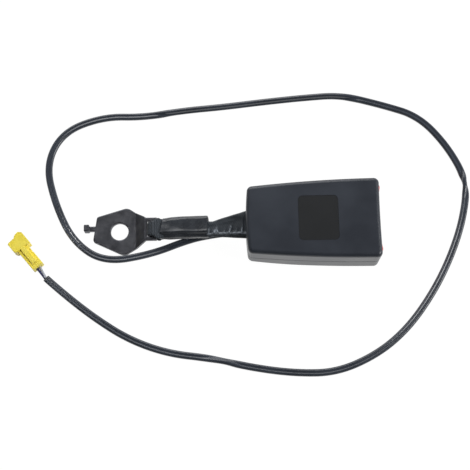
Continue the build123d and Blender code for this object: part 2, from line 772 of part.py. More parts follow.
with BuildPart() as press_button:
    main = button_plan(button_bottom_z, button_rear_x, 0, button_half)
    extrude(main, amount=button_top_z - button_bottom_z)
    ears = button_plan(button_top_z, ear_rear_x, ear_inner_y, button_half)
    extrude(ears, amount=ear_top_z - button_top_z)
    sides = press_button.faces().filter_by(lambda face: abs(abs(face.center().Y) - button_half) < near)
    long_edges = sides.edges().filter_by(Axis.X)
    fillet(long_edges.group_by(Axis.Z)[0] + long_edges.group_by(Axis.Z)[-1], button_round)
    extrude(button_plan(pad_bottom_z, pad_rear_x, 0, pad_width / 2), amount=button_bottom_z - pad_bottom_z)
    with BuildSketch(Plane.XY.offset(hollow_bottom_z)):
        with Locations(((button_rear_x + hollow_front_x) / 2, 0)):
            Rectangle(hollow_front_x - button_rear_x, button_width - 2 * button_wall)
    extrude(amount=hollow_top_z - hollow_bottom_z, mode=Mode.SUBTRACT)
    for side in (-1, 1):
        with BuildSketch(Plane.XY.offset(arm_bottom_z)):
            with Locations(((arm_rear_x + hollow_front_x) / 2, side * (arm_outer_y - arm_thick / 2))):
                Rectangle(hollow_front_x - arm_rear_x, arm_thick)
        extrude(amount=arm_top_z - arm_bottom_z)
        with BuildSketch(Plane.XY.offset(hollow_bottom_z)):
            with Locations((web_x + web_thick / 2, side * (web_inner_y + web_outer_y) / 2)):
                Rectangle(web_thick, web_outer_y - web_inner_y)
        extrude(amount=seat_top_z - hollow_bottom_z)
        with BuildSketch(Plane.YZ.offset(web_x)):
            with Locations((side * spring_y, spring_z)):
                Circle(peg_radius)
        extrude(amount=-peg_length)
    with BuildSketch(Plane.XZ):
        with Locations((lock_pin_x, lock_pin_z)):
            Circle(lock_pin_radius + slip)
    extrude(amount=button_width, both=True, mode=Mode.SUBTRACT)
press_button.part.label = "press_button"
export_step(press_button.part, "parts/press_button.step")


def spring_body(plane, length, radius, wire):
    """A closely wound coil spring, drawn as the many-sided sleeve that its wire fills."""
    with BuildPart() as spring:
        with BuildSketch(plane):
            RegularPolygon(radius, spring_sides)
            RegularPolygon(radius - wire, spring_sides, mode=Mode.SUBTRACT)
        extrude(amount=length)
    return spring.part


button_spring_length = web_x - seat_rear_x - seat_thick
for name, y in (("button_spring_left", spring_y), ("button_spring_right", -spring_y)):
    seat = Plane(origin=(seat_rear_x + seat_thick, y, spring_z), z_dir=(1, 0, 0))
    button_spring = spring_body(seat, button_spring_length, button_spring_outer, button_spring_wire)
    button_spring.label = name
    export_step(button_spring, f"parts/{name}.step")

latch_spring = spring_body(Plane(origin=(latch_spring_x, 0, latch_post_z), z_dir=(0, 0, 1)),
                           latch_under_z - latch_post_z, latch_spring_outer, latch_spring_wire)
latch_spring.label = "latch_spring"
export_step(latch_spring, "parts/latch_spring.step")

# ---------------------------------------------------------------- ejector and switch
magnet_x = ejector_rest_x + ejector_length / 2
bore_front_x = ejector_rest_x + ejector_bore_depth
nose_bevel = 0.8

with BuildPart() as ejector:
    with BuildSketch(Plane.XY.offset(ejector_bottom_z)):
        with Locations((ejector_rest_x + ejector_length / 2, 0)):
            Rectangle(ejector_length, ejector_width)
    extrude(amount=ejector_top_z - ejector_bottom_z)
    chamfer(ejector.edges().filter_by(Axis.Y).sort_by(Axis.X)[-2:], nose_bevel)
    with BuildSketch(Plane.XY.offset(ejector_top_z)):
        with Locations((key_rear_x + ejector_key_length / 2, 0)):
            Rectangle(ejector_key_length, ejector_key_width)
    extrude(amount=frame_plate_z + sheet - play - ejector_top_z)
    with BuildSketch(Plane.YZ.offset(ejector_rest_x)):
        with Locations((0, ejector_spring_z)):
            Circle(ejector_bore_radius)
    extrude(amount=ejector_bore_depth, mode=Mode.SUBTRACT)
    with BuildSketch(Plane.XZ.offset(ejector_width / 2 - magnet_depth)):
        with Locations((magnet_x, ejector_spring_z)):
            Rectangle(magnet_length, magnet_height)
    extrude(amount=magnet_depth, mode=Mode.SUBTRACT)
ejector.part.label = "ejector"
export_step(ejector.part, "parts/ejector.step")

with BuildPart() as sensor_magnet:
    with BuildSketch(Plane.XZ.offset(ejector_width / 2 - magnet_depth)):
        with Locations((magnet_x, ejector_spring_z)):
            Rectangle(magnet_length - slip, magnet_height - slip)
    extrude(amount=magnet_depth - slip)
sensor_magnet.part.label = "sensor_magnet"
export_step(sensor_magnet.part, "parts/sensor_magnet.step")

ejector_spring = spring_body(Plane(origin=(tab_x + tab_thick, 0, ejector_spring_z), z_dir=(1, 0, 0)),
                             bore_front_x - tab_x - tab_thick, ejector_spring_outer, ejector_spring_wire)
ejector_spring.label = "ejector_spring"
export_step(ejector_spring, "parts/ejector_spring.step")

lead_socket_depth = 1.5
sensor_lead_z = (sensor_foot_z + frame_plate_z) / 2
with BuildPart() as sensor_body:
    with BuildSketch(Plane.XY.offset(sensor_foot_z)) as case:
        with Locations((sensor_stud_x, sensor_stud_y)):
            Rectangle(sensor_length, sensor_width)
        chamfer(case.vertices(), nose_bevel)
    extrude(amount=frame_plate_z - sensor_foot_z)
    with BuildSketch(Plane.XY.offset(frame_plate_z)):
        with Locations((sensor_stud_x, sensor_stud_y)):
            Circle(stud_radius)
    extrude(amount=sheet - play)
    with BuildSketch(Plane.YZ.offset(sensor_x)):
        with Locations((sensor_stud_y, sensor_lead_z)):
            Circle(lead_inner_radius)
    extrude(amount=lead_socket_depth, mode=Mode.SUBTRACT)
sensor_body.part.label = "sensor_body"
export_step(sensor_body.part, "parts/sensor_body.step")

# ---------------------------------------------------------------- tongue guide
# A smooth insert in the mouth, which lines the slot that the tongue goes into.
guide_half_z = (slot_top_z + slot_bottom_z) / 2
with BuildPart() as tongue_guide:
    with BuildSketch(Plane.YZ.offset(frame_front_x)):
        with Locations((0, (guide_bottom_z + ceiling_z) / 2)):
            Rectangle(guide_width, ceiling_z - guide_bottom_z)
        with Locations((0, guide_half_z)):
            RectangleRounded(slot_width, slot_top_z - slot_bottom_z, slot_lead_in, mode=Mode.SUBTRACT)
    extrude(amount=guide_front_x - frame_front_x)
    mouth_edges = tongue_guide.faces().sort_by(Axis.X)[-1].inner_wires()[0].edges()
    chamfer(mouth_edges, slot_bevel)
tongue_guide.part.label = "tongue_guide"
export_step(tongue_guide.part, "parts/tongue_guide.step")

# ---------------------------------------------------------------- switch lead
# The lead lies loose round the buckle. Its route is a list of points on the surface.
def bend_radii(points):
    """One radius a corner: 0.45 of the shorter run over the tangent of half the turn."""
    radii = []
    for before, here, after in zip(points, points[1:], points[2:]):
        run_in, run_out = Vector(here) - Vector(before), Vector(after) - Vector(here)
        half_turn = math.radians(run_in.get_angle(run_out)) / 2
        radii.append(0.45 * min(run_in.length, run_out.length) / math.tan(half_turn))
    return radii


def lead_tube(points, width, thick):
    """A lead of flat section, on its flat, along straight runs joined by tangent arcs."""
    with BuildPart() as tube:
        with BuildLine(mode=Mode.PRIVATE) as route:
            FilletPolyline(*points, radius=bend_radii(points))
        ahead = route.line % 0
        with BuildSketch(Plane(origin=route.line @ 0, x_dir=(-ahead.Y, ahead.X, 0), z_dir=ahead)) as section:
            with BuildLine():
                Polyline((width / 2, 0), (width / 4, thick / 2), (-width / 4, thick / 2), (-width / 2, 0),
                         (-width / 4, -thick / 2), (width / 4, -thick / 2), close=True)
            make_face()
        sweep(path=route.line)
    length = sum(edge.length for edge in route.edges())
    print("route", round(length, 1), "volume", round(tube.part.volume, 1), "section x length",
          round(section.sketch.area * length, 1), "bends", [round(r, 1) for r in bend_radii(points)])
    return tube.part


inner_route = [(sensor_x + lead_socket_depth, sensor_stud_y, sensor_lead_z),
               (sensor_x - 5.5, sensor_stud_y, sensor_lead_z), (102.4, -12.6, 12.0), (95.5, -11.0, 6.6),
               (89.0, -3.78, 8.62), (lead_exit_x, lead_exit_y, lead_exit_z)]
lead_inner = lead_tube(inner_route, 2 * lead_inner_radius, 2 * lead_inner_radius * math.cos(math.pi / 6))
lead_inner.label = "lead_inner"
export_step(lead_inner, "parts/lead_inner.step")

floor = lead_thick / 2
lead_route = [(lead_exit_x, lead_exit_y, lead_exit_z), (75.0, -3.0, 6.6), (61.0, -3.0, floor),
              (45.0, -6.0, floor), (20.0, -15.5, floor), (-10.0, -20.0, floor), (-30.0, -6.0, floor),
              (-42.0, 19.0, floor), (-49.0, 47.0, floor), (-38.0, 70.0, floor), (-11.0, 80.0, floor),
              (15.0, 79.0, floor), (42.0, 83.0, floor), (68.0, 85.0, floor), (95.0, 88.0, floor),
              (122.0, 90.5, floor), (148.0, 92.0, floor), (175.0, 84.5, floor), (199.0, 76.0, floor),
              (217.0, 54.0, floor), (228.0, 29.0, floor), (223.0, 3.0, floor), (213.0, -22.0, floor),
              (200.0, -45.0, floor), (183.0, -67.0, floor), (163.0, -83.0, floor), (137.0, -94.0, floor),
              (111.0, -94.0, floor), (84.0, -90.0, floor), (58.0, -83.5, floor), (31.0, -80.0, floor),
              (6.0, -70.5, floor), (-16.0, -56.0, floor), (-37.0, -39.0, floor), (-47.0, -29.8, floor)]
switch_lead = lead_tube(lead_route, lead_width, lead_thick)
switch_lead.label = "switch_lead"
export_step(switch_lead, "parts/switch_lead.step")

# ---------------------------------------------------------------- connector
# A two-way plug on the lead's end, with its two cores showing behind it.
plug_plane = Plane(origin=(plug_rear[0], plug_rear[1], 0),
                   x_dir=(math.cos(math.radians(plug_angle)), math.sin(math.radians(plug_angle)), 0),
                   z_dir=(0, 0, 1))
plug_body_z = (plug_head_height - plug_body_height) / 2
head_half = plug_head_width / 2
body_half = plug_body_width / 2
head_end = plug_body_length + plug_head_length
head_step = 1.8
head_bevel = 1.0
clip_start = 9.4
clip_length = 2.8
clip_depth = 1.2
spine_width = 3.2
cavity_radius = 1.1
cavity_depth = 13.0
terminal_radius = 0.9
terminal_length = 9.0
pin_window = 1.8
pin_window_depth = 6.0
core_gap = 0.3
core_door = 1.5               # the cores straighten this far behind the plug
core_splay = 1.15             # the cores' offset in the sheath, in core radii

with BuildPart() as connector_housing:
    with BuildSketch(plug_plane.offset(plug_body_z)):
        with Locations((plug_body_length / 2 + head_bevel / 2, 0)):
            Rectangle(plug_body_length + head_bevel, plug_body_width)
    extrude(amount=plug_body_height)
    with BuildSketch(plug_plane):
        with BuildLine():
            Polyline((plug_body_length, -head_half), (head_end - head_step, -head_half),
                     (head_end, -head_half + head_step), (head_end - head_bevel / 2, -head_bevel),
                     (head_end - head_step, head_bevel / 2),
                     (head_end - head_step - play, head_half - head_bevel),
                     (head_end - head_step - head_bevel, head_half),
                     (plug_body_length + head_step, head_half),
                     (plug_body_length, body_half + head_bevel), close=True)
        make_face()
    extrude(amount=plug_head_height)
    with BuildSketch(plug_plane.offset(plug_body_z + plug_body_height)):
        with Locations((plug_body_length / 2 + head_step, 0)):
            Rectangle(plug_body_length - 2 * head_step + head_bevel, spine_width)
    extrude(amount=plug_body_z)
    with BuildSketch(plug_plane.offset(plug_body_z)):
        with Locations((clip_start + clip_length / 2, clip_depth / 2 - body_half)):
            Rectangle(clip_length, clip_depth)
    extrude(amount=plug_body_height, mode=Mode.SUBTRACT)
    for side in (-1, 1):
        rear = Plane(origin=plug_plane.from_local_coords((0, side * core_spread, plug_core_z)),
                     z_dir=plug_plane.x_dir)
        with BuildSketch(rear):
            Circle(cavity_radius)
        extrude(amount=cavity_depth, mode=Mode.SUBTRACT)
        front = Plane(origin=plug_plane.from_local_coords((head_end, side * core_spread * 2, plug_core_z)),
                      x_dir=plug_plane.y_dir, z_dir=plug_plane.x_dir)
        with BuildSketch(front):
            Rectangle(pin_window, pin_window)
        extrude(amount=-pin_window_depth, mode=Mode.SUBTRACT)
connector_housing.part.label = "connector_housing"
export_step(connector_housing.part, "parts/connector_housing.step")

with BuildPart() as connector_lock:
    with BuildSketch(plug_plane.offset(plug_body_z + head_bevel)):
        with Locations((clip_start + clip_length / 2, clip_depth - body_half - (clip_depth - play) / 2)):
            Rectangle(clip_length - play, clip_depth - play)
    extrude(amount=plug_body_height - 2 * head_bevel)
connector_lock.part.label = "connector_lock"
export_step(connector_lock.part, "parts/connector_lock.step")

for name, side in (("terminal_left", 1), ("terminal_right", -1)):
    seat = Plane(origin=plug_plane.from_local_coords((cavity_depth - terminal_length, side * core_spread,
                                                      plug_core_z)), z_dir=plug_plane.x_dir)
    with BuildPart() as terminal:
        with BuildSketch(seat):
            Circle(terminal_radius)
        extrude(amount=terminal_length)
    terminal.part.label = name
    export_step(terminal.part, f"parts/{name}.step")

lead_end = Vector(*lead_route[-1])
end_run = (lead_end - Vector(*lead_route[-2])).normalized()
across = Vector(-end_run.Y, end_run.X, 0)
for name, side in (("lead_core_dark", 1), ("lead_core_light", -1)):
    leaves = lead_end + across * (side * core_radius * core_splay) + end_run * core_gap
    enters_x = cavity_depth - terminal_length - core_gap
    enters = plug_plane.from_local_coords(Vector(enters_x, side * core_spread, plug_core_z))
    door = plug_plane.from_local_coords(Vector(-core_door, side * core_spread, plug_core_z - play))
    core = lead_tube([tuple(leaves), tuple(door), tuple(enters)], 2 * core_radius,
                     2 * core_radius * math.cos(math.pi / 6))
    core.label = name
    export_step(core, f"parts/{name}.step")
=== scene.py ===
# %% [markdown]
# # A seat belt buckle on its strap
#
# A belt buckle is a small steel latch in a plastic housing. A short strap ties it to a
# bolt-down plate, and a switch lead tells the car that the belt is fastened. The solid
# parts arrive ready made. This lesson gives each its finish, and makes what is soft:
# the strap, its sleeve, the lead, and the coil springs inside.

import math

import bmesh
import bpy
from mathutils import Matrix, Vector, noise


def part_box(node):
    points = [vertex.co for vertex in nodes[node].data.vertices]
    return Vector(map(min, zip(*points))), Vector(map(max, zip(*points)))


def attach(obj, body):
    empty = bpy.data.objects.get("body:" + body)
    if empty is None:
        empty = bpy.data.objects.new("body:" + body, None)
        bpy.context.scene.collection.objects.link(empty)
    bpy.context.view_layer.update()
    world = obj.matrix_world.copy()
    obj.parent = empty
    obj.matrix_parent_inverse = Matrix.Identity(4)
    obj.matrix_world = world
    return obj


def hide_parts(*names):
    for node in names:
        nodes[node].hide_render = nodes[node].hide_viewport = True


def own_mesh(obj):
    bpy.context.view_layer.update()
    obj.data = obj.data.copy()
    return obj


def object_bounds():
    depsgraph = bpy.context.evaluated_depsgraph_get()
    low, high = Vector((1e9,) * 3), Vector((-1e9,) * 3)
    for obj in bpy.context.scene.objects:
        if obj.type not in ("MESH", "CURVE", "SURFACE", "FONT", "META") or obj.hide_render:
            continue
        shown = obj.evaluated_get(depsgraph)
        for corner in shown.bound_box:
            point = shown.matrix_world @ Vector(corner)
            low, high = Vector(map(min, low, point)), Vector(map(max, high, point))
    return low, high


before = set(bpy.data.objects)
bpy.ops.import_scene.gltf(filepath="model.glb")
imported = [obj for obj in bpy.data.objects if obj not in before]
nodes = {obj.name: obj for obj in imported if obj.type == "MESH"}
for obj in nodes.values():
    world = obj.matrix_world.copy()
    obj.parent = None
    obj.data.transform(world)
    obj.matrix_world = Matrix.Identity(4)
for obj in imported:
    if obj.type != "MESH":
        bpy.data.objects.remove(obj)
cad_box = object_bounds()

# %% [markdown]
# ## The camera
#
# The buckle lies on its back and is seen from above, 15 degrees off the vertical, from
# 0.7 m away. A real lens of about 82 mm gives that view. Blender's camera looks along its
# own -Z, so its matrix is built from three directions: right, up, and back.

# %% Camera
MM = 0.001
EYE = Vector((70.9, -184.2, 676.1)) * MM
TILT = math.radians(15.0)
TURN = math.radians(1.2)
SENSOR_MM = 36.0
LENS_MM = 82.5

right = Vector((math.cos(TURN), -math.sin(TURN), 0.0))
ahead = Vector((math.sin(TILT) * math.sin(TURN), math.sin(TILT) * math.cos(TURN),
                -math.cos(TILT)))
above = right.cross(ahead)

camera_data = bpy.data.cameras.new("camera")
camera_data.sensor_width = SENSOR_MM
camera_data.lens = LENS_MM
camera_data.clip_start = 0.01
camera_data.clip_end = 20.0
camera = bpy.data.objects.new("camera", camera_data)
bpy.context.collection.objects.link(camera)
turned = Matrix((right, above, -ahead)).transposed().to_4x4()
camera.matrix_world = Matrix.Translation(EYE) @ turned
bpy.context.scene.camera = camera
print("camera at", [round(x, 3) for x in EYE])

# %% [markdown]
# ## Helpers for finishes
#
# Colours are picked as sRGB hex values and turned to linear light by one function. One
# small function adds a shader node with its settings and links, so that each finish reads
# as a short recipe.


# %% Colour and node helpers
def linear(hex_colour):
    """An sRGB hex colour as linear RGBA."""
    parts = [int(hex_colour[i:i + 2], 16) / 255 for i in (1, 3, 5)]
    return [c / 12.92 if c <= 0.04045 else ((c + 0.055) / 1.055) ** 2.4 for c in parts] + [1.0]


def add(tree, kind, settings=None, links=None):
    """A shader node of that kind, with its properties and sockets set and its inputs linked."""
    node = tree.nodes.new("ShaderNode" + kind)
    for name, value in (settings or {}).items():
        if isinstance(name, str) and hasattr(node, name):
            setattr(node, name, value)
        else:
            node.inputs[name].default_value = value
    for name, source in (links or {}).items():
        tree.links.new(source, node.inputs[name])
    return node


def maths(tree, operation, *inputs):
    """The result of a maths node, whose inputs are numbers or other nodes' outputs."""
    node = add(tree, "Math", {"operation": operation})
    for socket, value in zip(node.inputs, inputs):
        if isinstance(value, bpy.types.NodeSocket):
            tree.links.new(value, socket)
        else:
            socket.default_value = value
    return node.outputs[0]


def finish(title, **sockets):
    """A new material: its node tree and its Principled shader, with plain values set."""
    material = bpy.data.materials.new(title)
    material.use_nodes = True
    tree = material.node_tree
    shader = tree.nodes["Principled BSDF"]
    for name, value in sockets.items():
        socket = name.replace("_", " ").title().replace("Ior", "IOR")
        shader.inputs[socket].default_value = value
    return material, tree, shader


def per_mm(size):
    """A texture scale, in cycles a metre, for a pattern of that size in millimetres."""
    return 1000.0 / size


def position(tree):
    """The point on the surface in the object's own coordinates, in metres."""
    return add(tree, "TexCoord").outputs["Object"]


def blotches(tree, point, size, detail=2.0, roughness=0.5):
    """Soft noise whose patches are about that many millimetres."""
    return add(tree, "TexNoise",
               {"Scale": per_mm(size), "Detail": detail, "Roughness": roughness},
               {"Vector": point}).outputs["Fac"]


def between(tree, factor, low, high, start=0.0, end=1.0):
    """A colour that goes from low to high as factor goes from start to end."""
    ramp = add(tree, "ValToRGB", None, {"Fac": factor})
    ramp.color_ramp.elements[0].position = start
    ramp.color_ramp.elements[0].color = linear(low)
    ramp.color_ramp.elements[1].position = end
    ramp.color_ramp.elements[1].color = linear(high)
    return ramp.outputs["Color"]


def spread(tree, factor, low, high, start=0.0, end=1.0):
    """A number that goes from low to high as factor goes from start to end."""
    return add(tree, "MapRange",
               {"From Min": start, "From Max": end, "To Min": low, "To Max": high},
               {"Value": factor}).outputs["Result"]


def raise_by(tree, shader, height, millimetres, before=None):
    """A bump of that height in millimetres, on top of an earlier one if there is one."""
    links = {"Height": height}
    if before is not None:
        links["Normal"] = before.outputs["Normal"]
    bump = add(tree, "Bump", {"Strength": 1.0, "Distance": millimetres * MM}, links)
    tree.links.new(bump.outputs["Normal"], shader.inputs["Normal"])
    return bump


def dress(material, *names):
    """Gives a finish to solid pieces that keep their shape."""
    for name in names:
        piece = nodes[name]
        piece.data.materials.clear()
        piece.data.materials.append(material)
    print(material.name, "on", ", ".join(names))


# %% [markdown]
# ## The housing: moulded ABS
#
# Buckle shells are moulded in charcoal ABS. The mould's steel is spark eroded, which
# leaves a fine even grain on the plastic, so the surface is satin and highlights go soft
# and wide. The grain is about 0.15 mm, too fine to show here, so it is drawn at 0.5 mm.
# Handling polishes it a little, so the roughness drifts slowly over a few centimetres.

# %% Moulded ABS
shell_abs, tree, shader = finish("moulded_abs_charcoal", roughness=0.34, ior=1.5)
point = position(tree)
wear = blotches(tree, point, 28.0, 3.0)
tree.links.new(between(tree, wear, "#2f333b", "#393e47", 0.3, 0.7), shader.inputs["Base Color"])
tree.links.new(spread(tree, wear, 0.31, 0.38, 0.3, 0.7), shader.inputs["Roughness"])
grain = raise_by(tree, shader, blotches(tree, point, 0.5, 1.0), 0.012)
raise_by(tree, shader, blotches(tree, point, 9.0, 1.0), 0.02, grain)
dress(shell_abs, "rear_cover", "front_cover")

# %% [markdown]
# ## The label: polyester film
#
# The film is printed near black, thin and smooth. It follows the moulding below it, so it
# only has a faint orange-peel ripple, a few millimetres long.

# %% Label film
label_film, tree, shader = finish("polyester_film_black", roughness=0.36, ior=1.58)
point = position(tree)
tree.links.new(between(tree, blotches(tree, point, 12.0), "#1b1d1f", "#222427"),
               shader.inputs["Base Color"])
raise_by(tree, shader, blotches(tree, point, 2.5, 1.0), 0.01)
dress(label_film, "blank_label")

# %% [markdown]
# ## The button: red ABS
#
# The button is moulded in one colour all through and polished smoother than the shells,
# so that a thumb finds it by sight and by feel.

# %% Red ABS
button_abs, tree, shader = finish("moulded_abs_red", roughness=0.32, ior=1.54)
point = position(tree)
tree.links.new(between(tree, blotches(tree, point, 10.0), "#c93338", "#dd4545"),
               shader.inputs["Base Color"])
raise_by(tree, shader, blotches(tree, point, 0.6, 1.0), 0.006)
dress(button_abs, "press_button")

# %% [markdown]
# ## Steel
#
# The anchor plate is stamped from 3 mm steel and plated, then darkened. Tumbling leaves it
# satin, with fine scratches in no one direction, and rounds its edges over, so that they
# catch a soft line of light. A Bevel node turns the normals there and leaves the mesh
# alone. The frame, latch and pins inside are zinc plated and brighter, and the springs are
# bright drawn wire. A metal keeps the default IOR, and gets its look from its colour and
# its roughness.


# %% Three steels
def plated_steel(name, dark, light, rough, scratch=1.6, edge=0.1):
    """Satin plated steel: cloudy colour, fine scratches, edges rounded by some millimetres."""
    material, tree, shader = finish(name, metallic=1.0, roughness=rough)
    point = position(tree)
    cloud = blotches(tree, point, 6.0, 4.0, 0.6)
    tree.links.new(between(tree, cloud, dark, light, 0.3, 0.7), shader.inputs["Base Color"])
    tree.links.new(spread(tree, cloud, rough - 0.05, rough + 0.08, 0.3, 0.7),
                   shader.inputs["Roughness"])
    stretched = add(tree, "Mapping", {"Scale": (1.0, 0.12, 1.0), "Rotation": (0.0, 0.0, 0.5)},
                    {"Vector": point})
    rim = add(tree, "Bevel", {"samples": 8, "Radius": edge * MM})
    scratches = blotches(tree, stretched.outputs["Vector"], scratch, 5.0, 0.7)
    raise_by(tree, shader, scratches, 0.012, rim)
    return material


anchor_steel = plated_steel("dark_plated_steel", "#4d4e53", "#67686d", 0.44, edge=1.0)
frame_steel = plated_steel("zinc_plated_steel", "#9a9c9e", "#b4b5b3", 0.34)
spring_wire = plated_steel("drawn_spring_wire", "#a9abae", "#c2c4c6", 0.26, 0.5)
dress(anchor_steel, "anchor_plate")
dress(frame_steel, "latch_frame", "strap_pin", "latch", "lock_pin")

# %% [markdown]
# ## Plastics and metals inside, and the plug
#
# The ejector and the tongue guide are acetal, which slides well and looks waxy. The
# switch is glass-filled PBT, duller than ABS. The plug is bright yellow nylon, the colour
# that marks the wiring of safety systems. Its contacts are tinned brass.


# %% Small mouldings
def moulding(name, dark, light, rough, ior, grain_mm=0.5, edge=0.15, **more):
    """A plain moulded plastic with its slight unevenness and softened edges."""
    material, tree, shader = finish(name, roughness=rough, ior=ior, **more)
    point = position(tree)
    tree.links.new(between(tree, blotches(tree, point, 7.0, 3.0), dark, light, 0.3, 0.7),
                   shader.inputs["Base Color"])
    rim = add(tree, "Bevel", {"samples": 8, "Radius": edge * MM})
    raise_by(tree, shader, blotches(tree, point, grain_mm, 1.0), 0.008, rim)
    return material


acetal = moulding("moulded_acetal", "#232528", "#2c2f33", 0.3, 1.48)
switch_pbt = moulding("glass_filled_pbt", "#1d1f22", "#27292d", 0.55, 1.57, 0.3)
plug_nylon = moulding("moulded_nylon_yellow", "#fbe43f", "#ffed62", 0.42, 1.53, 0.6, 0.5)
dress(acetal, "ejector", "tongue_guide")
dress(switch_pbt, "sensor_body")
dress(plug_nylon, "connector_housing", "connector_lock")
dress(plated_steel("nickel_plated_magnet", "#8c8e92", "#a5a7aa", 0.25, 0.6), "sensor_magnet")
dress(plated_steel("tinned_brass", "#b9a478", "#cdbb92", 0.3, 0.6),
      "terminal_left", "terminal_right")

# %% [markdown]
# ## The lead's line
#
# The lead is a length of flat twin cable that lies where it falls. Its line is one smooth
# NURBS curve. The route's points pull the curve towards them without a kink, as a cable's
# own stiffness does.

# %% Route of the lead
LEAD_THICK = 3.0
LOW = LEAD_THICK / 2
LEAD_ROUTE = [
    (84, -3.5, 7.9), (75, -3, 6.6), (61, -3, LOW), (45, -6, LOW), (20, -15.5, LOW),
    (-10, -20, LOW), (-30, -6, LOW), (-42, 19, LOW), (-49, 47, LOW), (-38, 70, LOW),
    (-11, 80, LOW), (15, 79, LOW), (42, 83, LOW), (68, 85, LOW), (95, 88, LOW),
    (122, 90.5, LOW), (148, 92, LOW), (175, 84.5, LOW), (199, 76, LOW), (217, 54, LOW),
    (228, 29, LOW), (223, 3, LOW), (213, -22, LOW), (200, -45, LOW), (183, -67, LOW),
    (163, -83, LOW), (137, -94, LOW), (111, -94, LOW), (84, -90, LOW), (58, -83.5, LOW),
    (31, -80, LOW), (6, -70.5, LOW), (-16, -56, LOW), (-37, -39, LOW), (-47, -29.8, LOW)]


def smooth_line(name, points_mm, steps):
    """The points of a NURBS curve, in metres, read back as Blender draws it."""
    curve = bpy.data.curves.new(name, "CURVE")
    curve.dimensions = "3D"
    curve.resolution_u = steps
    spline = curve.splines.new("NURBS")
    spline.points.add(len(points_mm) - 1)
    for control, place in zip(spline.points, points_mm):
        control.co = (*(Vector(place) * MM), 1.0)
    spline.order_u = 3
    spline.use_endpoint_u = True
    holder = bpy.data.objects.new(name, curve)
    drawn = bpy.data.meshes.new_from_object(holder)
    line = [vertex.co.copy() for vertex in drawn.vertices]
    bpy.data.objects.remove(holder)
    bpy.data.meshes.remove(drawn)
    return line


def length_of(line):
    """The length of a line of points, in metres."""
    return sum((b - a).length for a, b in zip(line, line[1:]))


lead_line = smooth_line("lead_route", LEAD_ROUTE, 20)
print("lead:", len(lead_line), "points,", round(length_of(lead_line), 4), "m")

# %% [markdown]
# ## Tubes with any section
#
# A helper lofts a closed section along a line. The section may turn as it goes, which a
# flat cable does: it lies on its flat, then stands on its edge for a stretch.


# %% Lofting helpers
GROOVE_HALF_WIDTH = 0.175  # as a share of the cable's width


def ease(x):
    """0 below 0, 1 above 1, and a smooth step between."""
    x = min(1.0, max(0.0, x))
    return x * x * (3 - 2 * x)


def mesh_piece(name, rings, closed_path=False, caps=True, body="root"):
    """A piece whose rings of points are joined into a closed skin, and which rides on a body."""
    count = len(rings[0])
    points = [point for ring in rings for point in ring]
    faces = []
    last = len(rings) if closed_path else len(rings) - 1
    for i in range(last):
        a, b = i * count, (i + 1) % len(rings) * count
        for k in range(count):
            n = (k + 1) % count
            faces.append((a + k, a + n, b + n, b + k))
    if caps and not closed_path:
        faces.append(tuple(range(count))[::-1])
        faces.append(tuple(range((len(rings) - 1) * count, len(rings) * count)))
    mesh = bpy.data.meshes.new(name)
    mesh.from_pydata(points, [], faces)
    mesh.validate()
    shape = bmesh.new()
    shape.from_mesh(mesh)
    bmesh.ops.recalc_face_normals(shape, faces=shape.faces)
    shape.to_mesh(mesh)
    shape.free()
    for face in mesh.polygons:
        face.use_smooth = len(face.vertices) == 4
    piece = bpy.data.objects.new(name, mesh)
    bpy.context.collection.objects.link(piece)
    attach(piece, body)
    return piece


def cable_section(width, thick, sides=40, fullness=2.3, groove=0.0):
    """A flat oval of that size: fuller than an ellipse, with a shallow groove down each flat."""
    section = []
    for k in range(sides):
        turn = 2 * math.pi * k / sides
        c, s = math.cos(turn), math.sin(turn)
        x = width / 2 * math.copysign(abs(c) ** (2 / fullness), c)
        y = thick / 2 * math.copysign(abs(s) ** (2 / fullness), s)
        dip = groove * math.exp(-(x / (GROOVE_HALF_WIDTH * width)) ** 2)
        section.append((x, y * (1 - dip)))
    return section


def sideways_and_up(line, i):
    """The two directions square to a line at one of its points."""
    along = (line[min(i + 1, len(line) - 1)] - line[max(i - 1, 0)]).normalized()
    side = Vector((0, 0, 1)).cross(along).normalized()
    return side, along.cross(side)


# %% [markdown]
# ## The sheath: flexible PVC
#
# Flexible PVC is satin and dark grey, with the slight shine of its plasticiser. Two wires
# lie side by side in the sheath, which leaves a shallow groove down each flat, and the
# groove's walls catch two thin lines of light. The cable leans on its edge where its own
# set from the reel fights the bend, and turns right over once. The turns are listed as
# metres along the lead and the angle there.

# %% Sheath mesh
SHEATH_WIDTH = 4.7
SHEATH_THICK = 3.4
TWISTS = [(0.0, 0), (0.260, 0), (0.274, 62), (0.386, 62), (0.402, 0), (0.486, 0),
          (0.495, 100), (0.506, 180), (0.714, 180), (0.726, 230), (0.744, 180)]


def twist_at(distance):
    """The section's turn, in radians, at that distance along the lead."""
    for (start, before), (end, after) in zip(TWISTS, TWISTS[1:]):
        if distance <= end:
            share = ease((distance - start) / (end - start))
            return math.radians(before + (after - before) * share)
    return math.radians(TWISTS[-1][1])


def sheath_rings(line):
    """Rings of the sheath and its centre line, which rises where the cable stands on edge."""
    rings, centres, gone = [], [], 0.0
    section = cable_section(SHEATH_WIDTH * MM, SHEATH_THICK * MM, groove=0.32)
    for i, place in enumerate(line):
        if i:
            gone += (place - line[i - 1]).length
        side, up = sideways_and_up(line, i)
        turn = twist_at(gone)
        cos, sin = math.cos(turn), math.sin(turn)
        half = math.hypot(SHEATH_WIDTH / 2 * sin, SHEATH_THICK / 2 * cos) * MM
        centre = place + up * (half - LEAD_THICK / 2 * MM)
        rings.append([centre + side * (x * cos - y * sin) + up * (x * sin + y * cos)
                      for x, y in section])
        centres.append(centre)
    return rings, centres


